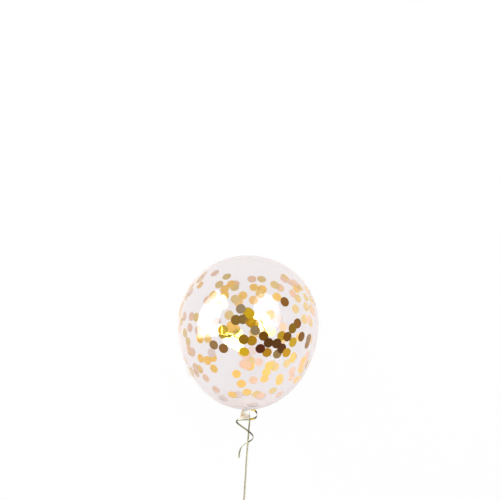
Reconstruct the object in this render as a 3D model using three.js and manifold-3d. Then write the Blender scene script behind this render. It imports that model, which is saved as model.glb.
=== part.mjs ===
// A clear latex party balloon, tied at its neck with metallic curling ribbon.
// It is modelled lying on its side, as it rests when it is set down: the crown points along +Y,
// the neck along -Y and a little down, and the ribbon drops from the neck and lies along the floor.
// Sizes are in millimetres, +Z is up, and z = 0 is the floor. The gas inside is part of the solid.

import * as THREE from 'three';
import { mergeVertices } from 'three/addons/utils/BufferGeometryUtils.js';
import Module from 'manifold-3d';

// Inflated body: two half ellipsoids of revolution that share the widest ring
const BODY_RADIUS = 150;
const CROWN_HEIGHT = 143.5;
const NECK_SIDE_HEIGHT = 187;

// Rest pose: how far the neck dips, and how deep the floor flattens the latex
const NECK_DIP = THREE.MathUtils.degToRad(11.4);
const FLAT_SPOT_DEPTH = 1.4;

// Neck: gathered inside the ribbon, flared behind it, with a rolled lip and a shallow open mouth
const SHOULDER_RADIUS = 16;
const GATHER_RADIUS = 5;
const NECK_LENGTH = 23;
const LIP_RADIUS = 10;
const LIP_BEAD_RADIUS = 1.3;
const LIP_ROLL_START = THREE.MathUtils.degToRad(10);
const LIP_ROLL_END = THREE.MathUtils.degToRad(330);
const MOUTH_DEPTH = 9;

// Curling ribbon
const RIBBON_WIDTH = 5;
const RIBBON_THICKNESS = 0.8;
const TIE_GAP_TO_BODY = 2.8;
const TIE_THICKNESS = 1.3;
const TIE_KNOT_SIZE = new THREE.Vector3(7, RIBBON_WIDTH, 6);
const CLEARANCE = 0.3;

// Loop for the hand, tied in the far end of the ribbon
const HAND_LOOP_LENGTH = 46;
const HAND_LOOP_WIDTH = 24;
const HAND_KNOT_SIZE = new THREE.Vector3(9, 11, 6);
const FLOOR_GAP = 0.2;

// How finely round shapes are faceted
const SIDES = 60;
const SMALL_SIDES = 28;
const RING_ANGLE = THREE.MathUtils.degToRad(7);
const SHOULDER_STEPS = 5;
const FLARE_STEPS = 4;
const MOUTH_STEPS = 4;
const LIP_STEPS = 8;
const KNOT_SIDES = 16;
const KNOT_RINGS = 10;
const LOOP_STEPS = 18;
const TAIL_STEP_LENGTH = 12;
const CURL_STEP_LENGTH = 6;

// Corners closer than this are one corner of a closed solid
const MERGE_DISTANCE = 1e-4;

const LATEX = new THREE.MeshStandardMaterial({
  color: 0xf1ebee,
  roughness: 0.12,
  metalness: 0,
  transparent: true,
  opacity: 0.35,
});
const GOLD_RIBBON = new THREE.MeshStandardMaterial({ color: 0xcdb25a, roughness: 0.25, metalness: 1 });

// Places along the balloon's axis, measured from the widest ring towards the neck
const TIE_START = NECK_SIDE_HEIGHT + TIE_GAP_TO_BODY;
const TIE_END = TIE_START + RIBBON_WIDTH;
const TIE_MIDDLE = (TIE_START + TIE_END) / 2;
const NECK_END = NECK_SIDE_HEIGHT + NECK_LENGTH;
const BEAD_ALONG = NECK_END - LIP_BEAD_RADIUS;
const BEAD_OUT = LIP_RADIUS - LIP_BEAD_RADIUS;

// The widest ring's centre sits so that the floor cuts the flat spot and the origin is below the
// middle of the balloon's box
const sinDip = Math.sin(NECK_DIP);
const cosDip = Math.cos(NECK_DIP);
const crownReach = Math.hypot(CROWN_HEIGHT * cosDip, BODY_RADIUS * sinDip);
const neckReach = BEAD_ALONG * cosDip + BEAD_OUT * sinDip + LIP_BEAD_RADIUS;
const centre = new THREE.Vector3(
  0,
  (neckReach - crownReach) / 2,
  Math.hypot(NECK_SIDE_HEIGHT * sinDip, BODY_RADIUS * cosDip) - FLAT_SPOT_DEPTH,
);

// Points (radius, distance towards the neck) on one quarter of an ellipse
function quarterEllipse(radius, height, fromAngle, toAngle) {
  const steps = Math.max(2, Math.round(Math.abs(toAngle - fromAngle) / RING_ANGLE));
  const points = [];
  for (let i = 0; i <= steps; i += 1) {
    const angle = fromAngle + ((toAngle - fromAngle) * i) / steps;
    points.push(new THREE.Vector2(radius * Math.sin(angle), -height * Math.cos(angle)));
  }
  return points;
}

// Points on the rolled lip, from its outside where the neck meets it, round its rim, to its inside
function lipPoints() {
  const points = [];
  for (let i = 0; i <= LIP_STEPS; i += 1) {
    const angle = LIP_ROLL_START + ((LIP_ROLL_END - LIP_ROLL_START) * i) / LIP_STEPS;
    points.push(new THREE.Vector2(
      BEAD_OUT + LIP_BEAD_RADIUS * Math.sin(angle),
      BEAD_ALONG - LIP_BEAD_RADIUS * Math.cos(angle),
    ));
  }
  return points;
}

// The whole outline of the latex, from the crown's pole to the middle of the mouth
function balloonProfile() {
  const crown = quarterEllipse(BODY_RADIUS, CROWN_HEIGHT, 0, Math.PI / 2);
  const shoulderAngle = Math.PI - Math.asin(SHOULDER_RADIUS / BODY_RADIUS);
  const neckSide = quarterEllipse(BODY_RADIUS, NECK_SIDE_HEIGHT, Math.PI / 2, shoulderAngle);
  const shoulder = neckSide[neckSide.length - 1];
  const shoulderCurve = new THREE.QuadraticBezierCurve(
    shoulder,
    new THREE.Vector2(GATHER_RADIUS, NECK_SIDE_HEIGHT + TIE_GAP_TO_BODY / 4),
    new THREE.Vector2(GATHER_RADIUS, TIE_START),
  );
  const lip = lipPoints();
  const flare = new THREE.QuadraticBezierCurve(
    new THREE.Vector2(GATHER_RADIUS, TIE_END),
    new THREE.Vector2(GATHER_RADIUS + (LIP_RADIUS - GATHER_RADIUS) / 2, (TIE_END + BEAD_ALONG) / 2),
    lip[0],
  );
  const mouthFloor = NECK_END - MOUTH_DEPTH;
  const mouth = new THREE.QuadraticBezierCurve(
    lip[lip.length - 1],
    new THREE.Vector2(GATHER_RADIUS / 2, mouthFloor),
    new THREE.Vector2(0, mouthFloor),
  );
  return [
    ...crown,
    ...neckSide.slice(1),
    ...shoulderCurve.getPoints(SHOULDER_STEPS).slice(1),
    ...flare.getPoints(FLARE_STEPS),
    ...lip.slice(1),
    ...mouth.getPoints(MOUTH_STEPS).slice(1),
  ];
}

// A solid of revolution about the balloon's axis: crown along +Y, neck along -Y
function turned(profile, sides) {
  const points = profile.map((p) => new THREE.Vector2(p.x, -p.y));
  return new THREE.LatheGeometry(points.reverse(), sides);
}

// Booleans: closed geometry in, closed geometry out
const wasm = await Module();
wasm.setup();

function toManifold(geometry) {
  const bare = geometry.clone();
  bare.deleteAttribute('normal');
  bare.deleteAttribute('uv');
  const merged = mergeVertices(bare, MERGE_DISTANCE);
  return new wasm.Manifold(new wasm.Mesh({
    numProp: 3,
    vertProperties: new Float32Array(merged.attributes.position.array),
    triVerts: new Uint32Array(merged.index.array),
  }));
}

function toGeometry(manifold) {
  const mesh = manifold.getMesh();
  const geometry = new THREE.BufferGeometry();
  geometry.setAttribute('position', new THREE.BufferAttribute(mesh.vertProperties, 3));
  geometry.setIndex(new THREE.BufferAttribute(mesh.triVerts, 1));
  geometry.computeVertexNormals();
  return geometry;
}

// A rounded lump, such as a pulled-tight knot
function ellipsoid(size, place) {
  const lump = new THREE.SphereGeometry(0.5, KNOT_SIDES, KNOT_RINGS);
  lump.scale(size.x, size.y, size.z);
  lump.translate(place.x, place.y, place.z);
  return lump;
}

// Everything turned about the balloon's axis is placed in this group
const balloonAxis = new THREE.Group();
balloonAxis.rotation.x = NECK_DIP;
balloonAxis.position.copy(centre);
balloonAxis.updateMatrixWorld();

// Latex balloon: body, neck and rolled lip in one piece, flattened where it meets the floor
function balloon() {
  const body = turned(balloonProfile(), SIDES);
  const floorBlock = new THREE.BoxGeometry(BODY_RADIUS * 2, BODY_RADIUS * 2, BODY_RADIUS);
  floorBlock.translate(0, 0, -BODY_RADIUS / 2);
  floorBlock.applyMatrix4(balloonAxis.matrixWorld.clone().invert());
  const mesh = new THREE.Mesh(toGeometry(toManifold(body).subtract(toManifold(floorBlock))), LATEX);
  mesh.name = 'balloon';
  return mesh;
}

// Ribbon wound round the gathered neck, with its knot at the neck's right
function ribbonTie() {
  const inner = GATHER_RADIUS + CLEARANCE;
  const outer = inner + TIE_THICKNESS;
  const halfWidth = RIBBON_WIDTH / 2 - CLEARANCE;
  const corner = TIE_THICKNESS / 3;
  const ring = [
    new THREE.Vector2(inner, TIE_MIDDLE - halfWidth),
    new THREE.Vector2(outer - corner, TIE_MIDDLE - halfWidth),
    new THREE.Vector2(outer, TIE_MIDDLE - halfWidth + corner),
    new THREE.Vector2(outer, TIE_MIDDLE + halfWidth - corner),
    new THREE.Vector2(outer - corner, TIE_MIDDLE + halfWidth),
    new THREE.Vector2(inner, TIE_MIDDLE + halfWidth),
    new THREE.Vector2(inner, TIE_MIDDLE - halfWidth),
  ];
  const wraps = toManifold(turned(ring, SMALL_SIDES));
  const knotOut = outer + TIE_KNOT_SIZE.x / 4;
  const knot = toManifold(ellipsoid(TIE_KNOT_SIZE, new THREE.Vector3(knotOut, -TIE_MIDDLE, 0)));
  const neckBore = new THREE.CylinderGeometry(inner, inner, RIBBON_WIDTH * 2, SMALL_SIDES);
  neckBore.translate(0, -TIE_MIDDLE, 0);
  const mesh = new THREE.Mesh(toGeometry(wraps.add(knot).subtract(toManifold(neckBore))), GOLD_RIBBON);
  mesh.name = 'ribbon_tie';
  return mesh;
}

// A length of flat ribbon along a route of points
function ribbonAlong(route, stepLength) {
  const path = new THREE.CatmullRomCurve3(route.map((p) => new THREE.Vector3(...p)), false, 'catmullrom', 0.5);
  const corner = RIBBON_THICKNESS / 4;
  const halfWidth = RIBBON_WIDTH / 2;
  const halfThickness = RIBBON_THICKNESS / 2;
  const section = new THREE.Shape([
    new THREE.Vector2(-halfWidth, -halfThickness + corner),
    new THREE.Vector2(-halfWidth + corner, -halfThickness),
    new THREE.Vector2(halfWidth - corner, -halfThickness),
    new THREE.Vector2(halfWidth, -halfThickness + corner),
    new THREE.Vector2(halfWidth, halfThickness - corner),
    new THREE.Vector2(halfWidth - corner, halfThickness),
    new THREE.Vector2(-halfWidth + corner, halfThickness),
    new THREE.Vector2(-halfWidth, halfThickness - corner),
  ]);
  return new THREE.ExtrudeGeometry(section, {
    steps: Math.round(path.getLength() / stepLength),
    extrudePath: path,
    bevelEnabled: false,
  });
}

// The long end: it drops from the knot under the neck and runs along the floor, away from the body
const TAIL_ROUTE = [
  [8.4, -156.7, 108.8], [8.4, -157.4, 100.0], [8.5, -159.8, 89.0], [8.7, -163.8, 76.0],
  [9.0, -169.2, 61.5], [9.5, -176.2, 46.4], [9.9, -184.8, 31.8], [10.2, -195.2, 18.8],
  [10.2, -207.4, 9.0], [9.9, -221.6, 3.2], [9.4, -237.0, 0.9], [8.8, -253.0, 0.6],
  [8.0, -270.0, 0.6], [7.3, -288.0, 0.6], [6.8, -307.0, 0.6], [6.3, -326.0, 0.6],
  [5.7, -345.0, 0.6], [5.2, -363.0, 0.6], [4.9, -379.0, 0.6], [4.8, -393.0, 1.6],
];

// The short end, curled: round in front of the lip, back under it, and down to the floor
const CURL_ROUTE = [
  [12.2, -156.6, 112.2], [16.0, -156.8, 112.8], [20.6, -158.6, 112.4], [24.6, -162.8, 110.6],
  [26.3, -168.4, 107.8], [24.2, -174.4, 104.6], [17.8, -178.4, 102.0], [8.6, -180.2, 100.4],
  [-2.0, -181.2, 98.8], [-11.0, -182.4, 96.2], [-16.8, -184.6, 91.8], [-18.6, -188.0, 85.8],
  [-15.8, -192.0, 80.4], [-9.8, -197.0, 76.4], [-2.0, -202.6, 73.0], [5.8, -208.4, 69.2],
  [12.8, -214.4, 64.2], [18.0, -220.6, 57.6], [20.0, -226.6, 50.0], [18.0, -232.0, 42.6],
  [12.8, -236.8, 36.4], [6.2, -241.6, 31.0], [0.0, -246.8, 25.2], [-4.6, -252.6, 18.8],
  [-7.4, -259.2, 12.0], [-8.8, -266.4, 6.2], [-9.4, -273.6, 2.6], [-9.5, -281.0, 1.2],
];

function ribbonTail() {
  const mesh = new THREE.Mesh(ribbonAlong(TAIL_ROUTE, TAIL_STEP_LENGTH), GOLD_RIBBON);
  mesh.name = 'ribbon_tail';
  return mesh;
}

function ribbonCurl() {
  const mesh = new THREE.Mesh(ribbonAlong(CURL_ROUTE, CURL_STEP_LENGTH), GOLD_RIBBON);
  mesh.name = 'ribbon_curl';
  return mesh;
}

// Loop and knot: a teardrop of ribbon standing on its edge, pulled out of a flattened knot
function handLoop() {
  const tailEnd = TAIL_ROUTE[TAIL_ROUTE.length - 1];
  const knotPlace = new THREE.Vector3(
    tailEnd[0],
    tailEnd[1] - CLEARANCE - HAND_KNOT_SIZE.y / 2,
    HAND_KNOT_SIZE.z / 2 + FLOOR_GAP,
  );
  const round = HAND_LOOP_WIDTH / 2;
  const straight = HAND_LOOP_LENGTH - round;
  const outline = (inset) => {
    const radius = round - inset;
    const tangentAngle = Math.acos(radius / straight);
    const edge = [];
    for (let i = 0; i <= LOOP_STEPS; i += 1) {
      const angle = -Math.PI / 2 + (Math.PI - tangentAngle) * ((2 * i) / LOOP_STEPS - 1);
      edge.push(new THREE.Vector2(radius * Math.cos(angle), -straight + radius * Math.sin(angle)));
    }
    edge.push(new THREE.Vector2(0, -inset * 2));
    return edge;
  };
  const teardrop = new THREE.Shape(outline(0));
  teardrop.holes.push(new THREE.Path(outline(RIBBON_THICKNESS).reverse()));
  const band = new THREE.ExtrudeGeometry(teardrop, { depth: RIBBON_WIDTH, bevelEnabled: false });
  band.translate(knotPlace.x, knotPlace.y, FLOOR_GAP);
  const knot = ellipsoid(HAND_KNOT_SIZE, knotPlace);
  const mesh = new THREE.Mesh(toGeometry(toManifold(band).add(toManifold(knot))), GOLD_RIBBON);
  mesh.name = 'ribbon_hand_loop';
  return mesh;
}

const model = new THREE.Group();
model.add(balloonAxis);
balloonAxis.add(balloon(), ribbonTie());
model.add(ribbonTail(), ribbonCurl(), handLoop());

export default model;
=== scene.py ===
# A clear latex party balloon lying on its side, with gold foil confetti inside it and gold curling
# ribbon tied round its neck. Lengths are in metres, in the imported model's frame: the crown points along
# +Y, the neck along -Y and a little down, and z = 0 is the floor.

import math

import bmesh
import bpy
import numpy as np
from mathutils import Matrix, Vector


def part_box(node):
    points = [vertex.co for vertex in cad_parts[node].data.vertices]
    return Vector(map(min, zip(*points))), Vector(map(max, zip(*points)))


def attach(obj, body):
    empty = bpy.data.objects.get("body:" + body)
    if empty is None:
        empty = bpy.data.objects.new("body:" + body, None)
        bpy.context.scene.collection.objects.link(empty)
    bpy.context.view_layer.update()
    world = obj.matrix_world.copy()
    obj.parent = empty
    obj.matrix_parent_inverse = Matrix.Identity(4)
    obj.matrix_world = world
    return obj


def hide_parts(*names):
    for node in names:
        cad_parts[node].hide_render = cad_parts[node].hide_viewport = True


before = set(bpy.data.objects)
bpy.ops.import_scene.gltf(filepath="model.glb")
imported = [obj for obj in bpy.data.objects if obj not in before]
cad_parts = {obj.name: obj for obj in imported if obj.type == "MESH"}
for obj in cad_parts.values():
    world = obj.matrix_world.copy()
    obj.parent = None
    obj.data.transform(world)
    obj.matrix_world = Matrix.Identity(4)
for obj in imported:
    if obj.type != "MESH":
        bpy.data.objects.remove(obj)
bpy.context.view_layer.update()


# Camera. The photograph shows the balloon upright, so the camera looks straight down on it lying, with
# the crown up in the picture and the neck turned two degrees to the left. It is far enough away for the
# nearly parallel sight lines of a product photograph.
BODY_RADIUS = 0.150
CROWN_HEIGHT = 0.1435
NECK_SIDE_HEIGHT = 0.187
NECK_DIP = math.radians(11.4)
FLAT_SPOT_DEPTH = 0.0014
CAMERA_DISTANCE = 2.6
CAMERA_TURN = math.radians(2)
SENSOR_WIDTH = 36
# The photograph's own pixels: its side, and the width and the middle of the body's widest ring in it
PICTURE_SIDE = 500
WIDEST_RING_WIDTH_PIXELS = 141
WIDEST_RING_MIDDLE_PIXEL = (248.1, 322.9)

balloon_low, balloon_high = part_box("balloon")
crown_reach = math.hypot(CROWN_HEIGHT * math.cos(NECK_DIP), BODY_RADIUS * math.sin(NECK_DIP))
floor_reach = math.hypot(NECK_SIDE_HEIGHT * math.sin(NECK_DIP), BODY_RADIUS * math.cos(NECK_DIP))
ring_middle = np.array([
    (balloon_low.x + balloon_high.x) / 2,
    balloon_high.y - crown_reach,
    floor_reach - FLAT_SPOT_DEPTH,
])
picture_right = np.array([math.cos(CAMERA_TURN), math.sin(CAMERA_TURN), 0])
picture_up = np.array([-math.sin(CAMERA_TURN), math.cos(CAMERA_TURN), 0])
metres_per_pixel = 2 * BODY_RADIUS / WIDEST_RING_WIDTH_PIXELS
camera_place = (
    ring_middle
    + picture_right * (PICTURE_SIDE / 2 - WIDEST_RING_MIDDLE_PIXEL[0]) * metres_per_pixel
    + picture_up * (WIDEST_RING_MIDDLE_PIXEL[1] - PICTURE_SIDE / 2) * metres_per_pixel
    + np.array([0, 0, CAMERA_DISTANCE])
)
camera_data = bpy.data.cameras.new("camera")
camera_data.sensor_width = SENSOR_WIDTH
camera_data.lens = SENSOR_WIDTH * CAMERA_DISTANCE / (PICTURE_SIDE * metres_per_pixel)
camera = bpy.data.objects.new("camera", camera_data)
camera.location = camera_place
camera.rotation_euler = (0, 0, CAMERA_TURN)
bpy.context.scene.collection.objects.link(camera)
bpy.context.scene.camera = camera
bpy.context.scene.view_settings.view_transform = "Standard"


# Ribbon, long end. Curling ribbon is a thin strip of gold plastic film, 5 mm wide, pressed with fine
# lengthwise ribs. The long end drops from the knot at the neck and runs along the floor.
RIBBON_WIDTH = 0.005
RIBBON_THICKNESS = 0.00022
RIB_HEIGHT = 0.00004
RIB_COUNT = 7
STEPS_PER_RIB = 6
# How far the strip is bent across its width, in radians: nearly flat, and as a blade leaves it
FLAT_CUP = 0.05
RIBBON_CUP = 2.9
# Lengths from the knot over which the gold turns olive, and over which the long end's bend sets in
GOLD_LENGTH = (0.040, 0.052)
TAIL_BEND_LENGTH = (0.070, 0.090)
RIBBON_GOLD = (0.60, 0.44, 0.06, 1)
RIBBON_OLIVE = (0.42, 0.39, 0.25, 1)
RIBBON_METALLIC = 0.5
RIBBON_ROUGHNESS = (0.3, 0.48)
OLIVE_PATCH_SCALE = 60
SCRATCH_STRETCH = (90, 1.5, 1)
SCRATCH_DETAIL = 3
SCRATCH_STRENGTH = 0.25
SCRATCH_DEPTH = 0.00003
# Painted dark reflection: how much light is left in the film's colour, by how far the ribbon stands on its
# edge and would mirror the dark room
PAINTED_DARK_REFLECTION = [(0.14, 1.0), (0.3, 0.10), (0.6, 0.14), (0.85, 0.8)]
TAIL_LENGTH = 0.302
TAIL_ROUTE_STEPS = 10
TAIL_ROUTE = [
    (0.0084, -0.1567, 0.1088), (0.0084, -0.1574, 0.1000), (0.0085, -0.1598, 0.0890),
    (0.0087, -0.1638, 0.0760), (0.0090, -0.1692, 0.0615), (0.0095, -0.1762, 0.0464),
    (0.0099, -0.1848, 0.0318), (0.0102, -0.1952, 0.0188), (0.0102, -0.2074, 0.0090),
    (0.0099, -0.2216, 0.0032), (0.0094, -0.2370, 0.0009), (0.0088, -0.2530, 0.0006),
    (0.0080, -0.2700, 0.0006), (0.0073, -0.2880, 0.0006), (0.0068, -0.3070, 0.0006),
    (0.0063, -0.3260, 0.0006), (0.0057, -0.3450, 0.0006), (0.0052, -0.3630, 0.0006),
    (0.0049, -0.3790, 0.0006), (0.0048, -0.3930, 0.0016),
]
# Which way the ribbon's width lies, at even steps from the knot: on edge while it drops, then flat
TAIL_WIDTH_TOWARDS = [
    (0.0, 1.0, 0.0), (0.0, 1.0, 0.0), (0.0, 1.0, 0.0), (0.5, 1.0, 0.0), (1.0, 0.1, 0.05),
    (1.0, 0.0, 0.0), (1.0, 0.0, 0.1), (1.0, 0.0, 0.0), (1.0, 0.0, 0.0), (1.0, 0.0, 0.05),
]


def smooth_route(route, steps):
    """Points on the Catmull-Rom curve through the route. Between points b and c, with neighbours a and d,
    it is the cubic that leaves b with slope (c - a) / 2 and reaches c with slope (d - b) / 2."""
    points = np.array(route, float)
    longer = np.vstack([2 * points[0] - points[1], points, 2 * points[-1] - points[-2]])
    a, b, c, d = longer[:-3, None], longer[1:-2, None], longer[2:-1, None], longer[3:, None]
    t = np.linspace(0, 1, steps, endpoint=False)[None, :, None]
    curve = (
        b
        + (c - a) / 2 * t
        + (2 * a - 5 * b + 4 * c - d) / 2 * t**2
        + (3 * b - a - 3 * c + d) / 2 * t**3
    )
    return np.vstack([curve.reshape(-1, 3), points[-1:]])


def unit(vectors):
    """Each vector divided by its own length."""
    return vectors / np.linalg.norm(vectors, axis=-1, keepdims=True)


def length_gone(path):
    """How far along the path each of its points is: the sum of the steps before it."""
    return np.concatenate([[0], np.linalg.norm(np.diff(path, axis=0), axis=1).cumsum()])


def grid_faces(rows, columns):
    """The four corner numbers of every cell of a grid of points that are counted row by row. The last
    column joins the first one."""
    row = np.arange(rows - 1)[:, None] * columns
    column = np.arange(columns)[None, :]
    after = (column + 1) % columns
    corners = [row + column, row + after, row + columns + after, row + columns + column]
    return np.stack(corners, -1).reshape(-1, 4)


def new_piece(name, points, faces, uv, material, sharp_degrees=40):
    """A mesh piece from its points, its faces and one uv pair for each point. It rides on the balloon's
    body, shades smoothly, and keeps the edges that are sharper than sharp_degrees."""
    mesh = bpy.data.meshes.new(name)
    mesh.from_pydata(points.reshape(-1, 3).tolist(), [], [list(face) for face in faces])
    corner_points = np.zeros(len(mesh.loops), int)
    mesh.loops.foreach_get("vertex_index", corner_points)
    layer = mesh.uv_layers.new(name="surface")
    layer.data.foreach_set("uv", uv.reshape(-1, 2)[corner_points].astype(np.float32).ravel())
    mesh.shade_smooth()
    mesh.set_sharp_from_angle(angle=math.radians(sharp_degrees))
    mesh.materials.append(material)
    piece = bpy.data.objects.new(name, mesh)
    bpy.context.scene.collection.objects.link(piece)
    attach(piece, "root")
    return piece


def write_attribute(piece, name, values):
    """Gives each point of the piece one number, for its material to read."""
    attribute = piece.data.attributes.new(name, "FLOAT", "POINT")
    attribute.data.foreach_set("value", values.astype(np.float32).ravel())


def mark_film(piece, on_edge, gone):
    """Writes, for each point of a ribbon piece, how far the film stands on its edge, and how olive it is:
    0 up to the first gold length gone from the knot, 1 from the second one on."""
    write_attribute(piece, "on_edge", on_edge)
    write_attribute(piece, "olive", np.interp(gone, GOLD_LENGTH, (0, 1)))


def ribbon_strip(
    name, path, width_towards, material, width=RIBBON_WIDTH, cup=FLAT_CUP, sunk=0.0, painted_dark=0.0, start=0.0,
):
    """A ribbed strip carried along a path. Its width lies along the part of width_towards that is square
    to the path, and is bent into an arc of cup radians, so of radius width / cup, whose middle line is
    sunk * radius * (1 - cos(cup / 2)) behind the path. Its two faces are at plus and minus (thickness +
    rib height * cos(rib angle)) / 2 from that arc, and its edges are half as thick. Its painted dark
    reflection of the room, which darkens it where it stands on its edge, is scaled by a share from 0 to 1,
    and start is the length of ribbon before the path."""
    along = unit(np.gradient(path, axis=0))
    across = unit(width_towards - (width_towards * along).sum(1, keepdims=True) * along)
    through = np.cross(along, across)
    share = np.linspace(-0.5, 0.5, STEPS_PER_RIB * RIB_COUNT + 1)
    half = (RIBBON_THICKNESS + RIB_HEIGHT * np.cos(2 * math.pi * RIB_COUNT * share)) / 2
    half[[0, -1]] = RIBBON_THICKNESS / 4
    both_shares = np.concatenate([share, share[::-1]])
    both_halves = np.concatenate([half, -half[::-1]])
    cups = np.broadcast_to(cup, len(path))[:, None]
    arc_radius = width / cups
    angle = both_shares * cups
    side = (arc_radius - both_halves) * np.sin(angle)
    lift = arc_radius - (arc_radius - both_halves) * np.cos(angle)
    lift = lift - sunk * arc_radius * (1 - np.cos(cups / 2))
    points = path[:, None] + across[:, None] * side[..., None] + through[:, None] * lift[..., None]
    rows, columns = points.shape[:2]
    cell = np.arange(columns // 2 - 1)
    first_end = np.stack([cell, cell + 1, columns - 2 - cell, columns - 1 - cell], -1)
    last_end = (rows - 1) * columns + first_end[:, ::-1]
    faces = np.concatenate([grid_faces(rows, columns)[:, ::-1], first_end, last_end])
    gone = length_gone(path)
    uv = np.stack(np.broadcast_arrays(both_shares + 0.5, gone[:, None] / width), -1)
    piece = new_piece(name, points, faces, uv, material)
    on_edge = painted_dark * (1 - np.abs(through[:, 2]))
    mark_film(piece, np.repeat(on_edge, columns), np.repeat(start + gone, columns))
    return piece


def directions_along(directions, count):
    """The given directions spread evenly over count places, blended in a straight line between them."""
    places = np.linspace(0, 1, len(directions))
    wanted = np.linspace(0, 1, count)
    return np.stack([np.interp(wanted, places, d) for d in np.array(directions, float).T], -1)


def node_material(name):
    """A new material made of nodes, and its node tree."""
    material = bpy.data.materials.new(name)
    material.use_nodes = True
    return material, material.node_tree


def set_inputs(tree, node, inputs):
    """Gives each of a node's sockets, by name or number, its value or the output it is linked from."""
    for socket, value in inputs.items():
        if isinstance(value, bpy.types.NodeSocket):
            tree.links.new(value, node.inputs[socket])
        else:
            node.inputs[socket].default_value = value


def add_node(tree, kind, inputs=None, **options):
    """A new node with its options set, and then its inputs."""
    node = tree.nodes.new("ShaderNode" + kind)
    for option, value in options.items():
        setattr(node, option, value)
    set_inputs(tree, node, inputs or {})
    return node


def worked(tree, operation, *values):
    """The result of one arithmetic step on the values."""
    return add_node(tree, "Math", dict(enumerate(values)), operation=operation).outputs[0]


def point_attribute(tree, name):
    """The number that write_attribute has given to each point."""
    return add_node(tree, "Attribute", attribute_name=name).outputs["Fac"]


def colour_ramp(tree, source, stops):
    """The colours of a list of (position, colour), blended in a straight line by the source."""
    ramp = add_node(tree, "ValToRGB", {"Fac": source})
    elements = ramp.color_ramp.elements
    while len(elements) < len(stops):
        elements.new(0.5)
    for element, (position, colour) in zip(elements, stops):
        element.position = position
        element.color = colour
    return ramp.outputs["Color"]


def grey_ramp(tree, source, stops):
    """A colour ramp from a list of (position, grey)."""
    return colour_ramp(tree, source, [(position, (grey, grey, grey, 1)) for position, grey in stops])


def raised(tree, height, strength, distance):
    """The normals of a surface that is raised by the height, from 0 to 1, times the distance."""
    bump = add_node(tree, "Bump", {"Height": height, "Strength": strength, "Distance": distance})
    return bump.outputs["Normal"]


def ribbon_material():
    """Metallised film: gold near the knot, then olive in soft patches, with fine lengthwise scratches. Where
    the blade has leaned it over onto its edge, painted shade darkens it: a painted reflection of the dark
    room."""
    material, tree = node_material("gold ribbon film")
    place = add_node(tree, "TexCoord")
    patches = add_node(tree, "TexNoise", {"Vector": place.outputs["Object"], "Scale": OLIVE_PATCH_SCALE})
    turned_olive = worked(tree, "ADD", patches.outputs["Fac"], point_attribute(tree, "olive"))
    colour = colour_ramp(tree, turned_olive, [(0.5, RIBBON_GOLD), (1.0, RIBBON_OLIVE)])
    # Painted dark reflection: the film's colour is darkened by how far it stands on its edge
    light_left = grey_ramp(tree, point_attribute(tree, "on_edge"), PAINTED_DARK_REFLECTION)
    darkened = add_node(
        tree, "Mix", {"Factor": 1.0, "A": colour, "B": light_left}, data_type="RGBA", blend_type="MULTIPLY",
    )
    stretch = add_node(tree, "Mapping", {"Vector": place.outputs["UV"], "Scale": SCRATCH_STRETCH})
    scratches = add_node(
        tree, "TexNoise", {"Vector": stretch.outputs["Vector"], "Scale": 1.0, "Detail": SCRATCH_DETAIL},
    ).outputs["Fac"]
    smooth, rough = RIBBON_ROUGHNESS
    gloss = add_node(tree, "MapRange", {"Value": scratches, "To Min": smooth, "To Max": rough})
    set_inputs(tree, tree.nodes["Principled BSDF"], {
        "Base Color": darkened.outputs["Result"],
        "Metallic": RIBBON_METALLIC,
        "Roughness": gloss.outputs["Result"],
        "Normal": raised(tree, scratches, SCRATCH_STRENGTH, SCRATCH_DEPTH),
    })
    return material


gold_ribbon = ribbon_material()
tail_path = smooth_route(TAIL_ROUTE, TAIL_ROUTE_STEPS)
tail = ribbon_strip(
    "ribbon_long_end", tail_path, directions_along(TAIL_WIDTH_TOWARDS, len(tail_path)), gold_ribbon,
    cup=np.interp(length_gone(tail_path), TAIL_BEND_LENGTH, (FLAT_CUP, RIBBON_CUP)),
)
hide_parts("ribbon_tail")


# Ribbon, short end. It is drawn over a scissor blade, which curls it: it comes round in front of the
# lip, swings back below it and down to the floor, and ends where it was cut.
CURL_ROUTE_STEPS = 8
CURL_ROUTE = [
    (0.0122, -0.1566, 0.1122), (0.0160, -0.1568, 0.1128), (0.0206, -0.1586, 0.1124),
    (0.0246, -0.1628, 0.1106), (0.0263, -0.1684, 0.1078), (0.0242, -0.1744, 0.1046),
    (0.0178, -0.1784, 0.1020), (0.0086, -0.1802, 0.1004), (-0.0020, -0.1812, 0.0988),
    (-0.0110, -0.1824, 0.0962), (-0.0168, -0.1846, 0.0918), (-0.0186, -0.1880, 0.0858),
    (-0.0158, -0.1920, 0.0804), (-0.0098, -0.1970, 0.0764), (-0.0020, -0.2026, 0.0730),
    (0.0058, -0.2084, 0.0692), (0.0128, -0.2144, 0.0642), (0.0180, -0.2206, 0.0576),
    (0.0200, -0.2266, 0.0500), (0.0180, -0.2320, 0.0426), (0.0128, -0.2368, 0.0364),
    (0.0062, -0.2416, 0.0310), (0.0000, -0.2468, 0.0252), (-0.0046, -0.2526, 0.0188),
    (-0.0074, -0.2592, 0.0120), (-0.0088, -0.2664, 0.0062), (-0.0094, -0.2736, 0.0026),
    (-0.0095, -0.2810, 0.0012),
]
CURL_WIDTH_TOWARDS = [
    (0.0, 1.0, 0.0), (0.0, 1.0, -0.6), (0.0, 1.0, -0.35), (0.45, 0.85, -0.1), (0.0, 0.8, -0.6),
    (0.5, 0.6, -0.3), (1.0, 0.1, 0.75),
]
CURL_CUPS = (0.5, RIBBON_CUP)
CURL_SUNK = 0.5
# Lengths from the knot over which the painted dark reflection fades out
PAINTED_DARK_END = (0.165, 0.178)

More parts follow.
